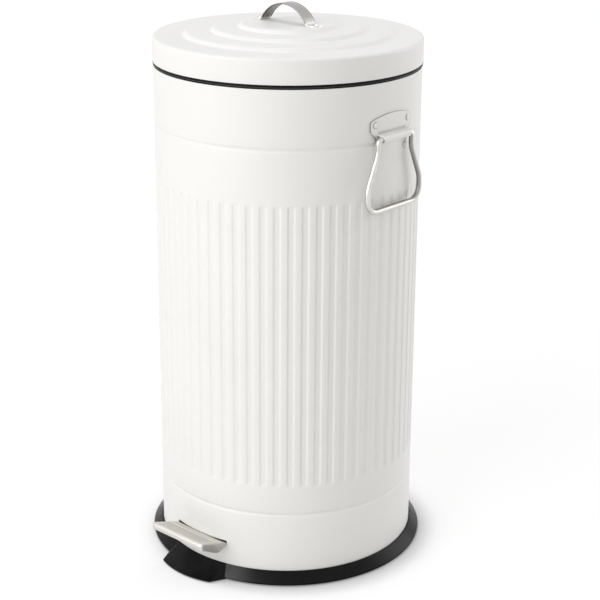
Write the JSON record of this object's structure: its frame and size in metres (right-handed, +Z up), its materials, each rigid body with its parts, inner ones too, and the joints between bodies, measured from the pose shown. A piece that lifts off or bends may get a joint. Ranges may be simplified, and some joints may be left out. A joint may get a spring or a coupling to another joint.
{
  "type": "trash can",
  "caption": "Round fluted sheet-metal pedal bin with stepped lid, strap handle, side bails, toe foot and lift-out bucket.",
  "frame": {"origin": "on the floor under the middle of the round body", "axes": "+Z up, -Y out through the pedal, +Y through the lid hinge, +X and -X through the carrying handles"},
  "size_m": [0.3236, 0.369, 0.6365],
  "materials": {
    "white_paint": "satin white powder coat on sheet steel",
    "black_plastic": "fine-grained moulding",
    "black_rubber": "matt",
    "brushed_steel": "brushed",
    "bright_steel": "satin bright plated wire",
    "zinc_steel": "zinc plated",
    "grey_plastic": "moulded"
  },
  "bodies": {
    "bin": {"body_shell": "white_paint", "body_rim": "black_plastic", "base_ring": "black_plastic", "base_plate": "zinc_steel", "base_screws": "zinc_steel", "foot_pads": "black_rubber", "hinge_housing": "black_plastic", "hinge_pin": "zinc_steel", "hinge_screws": "zinc_steel", "rod_guides": "black_plastic", "pivot_bracket": "zinc_steel", "pivot_pin": "zinc_steel", "pivot_clip": "zinc_steel", "right_handle_bracket": "white_paint", "right_handle_rivets": "white_paint", "left_handle_bracket": "white_paint", "left_handle_rivets": "white_paint"},
    "lid": {"lid_shell": "white_paint", "lid_seal": "black_rubber", "lid_handle": "brushed_steel", "lid_handle_rivets": "brushed_steel", "lid_hinge_arm": "white_paint", "lid_hinge_rivets": "white_paint"},
    "pedal": {"pedal_tread": "brushed_steel", "pedal_lever": "zinc_steel"},
    "rod": {"push_rod": "zinc_steel"},
    "right_handle": {"right_bail": "bright_steel"},
    "left_handle": {"left_bail": "bright_steel"},
    "bucket": {"bucket": "grey_plastic"},
    "bucket_bail": {"bucket_bail": "zinc_steel", "bucket_bail_grip": "black_plastic"}
  },
  "joints": [
    {"name": "lid_hinge", "type": "hinge", "parent": "bin", "child": "lid", "pos_m": [0, 0.1565, 0.5723], "axis": [-1, 0, 0], "range_deg": [0, 75]},
    {"name": "pedal_pivot", "type": "hinge", "parent": "bin", "child": "pedal", "pos_m": [0, -0.04, 0.01597], "axis": [1, 0, 0], "range_deg": [0, 5.74]},
    {"name": "rod_lift", "type": "slide", "parent": "bin", "child": "rod", "axis": [0, 0, 1], "range_m": [0, 0.01842]},
    {"name": "right_bail_swing", "type": "hinge", "parent": "bin", "child": "right_handle", "pos_m": [0.1542, 0, 0.511], "axis": [0, -1, 0], "range_deg": [0, 150]},
    {"name": "left_bail_swing", "type": "hinge", "parent": "bin", "child": "left_handle", "pos_m": [-0.1542, 0, 0.511], "axis": [0, 1, 0], "range_deg": [0, 150]},
    {"name": "bucket_lift", "type": "slide", "parent": "bin", "child": "bucket", "axis": [0, 0, 1], "range_m": [0, 0.02]},
    {"name": "bucket_bail_swing", "type": "hinge", "parent": "bucket", "child": "bucket_bail", "pos_m": [0, 0, 0.5536], "axis": [-1, 0, 0], "range_deg": [0, 8]}
  ],
  "couplings": [
    {"joint": "pedal_pivot", "follows": "lid_hinge", "ratio": 0.076347},
    {"joint": "rod_lift", "follows": "lid_hinge", "m_per_rad": 0.014069}
  ]
}
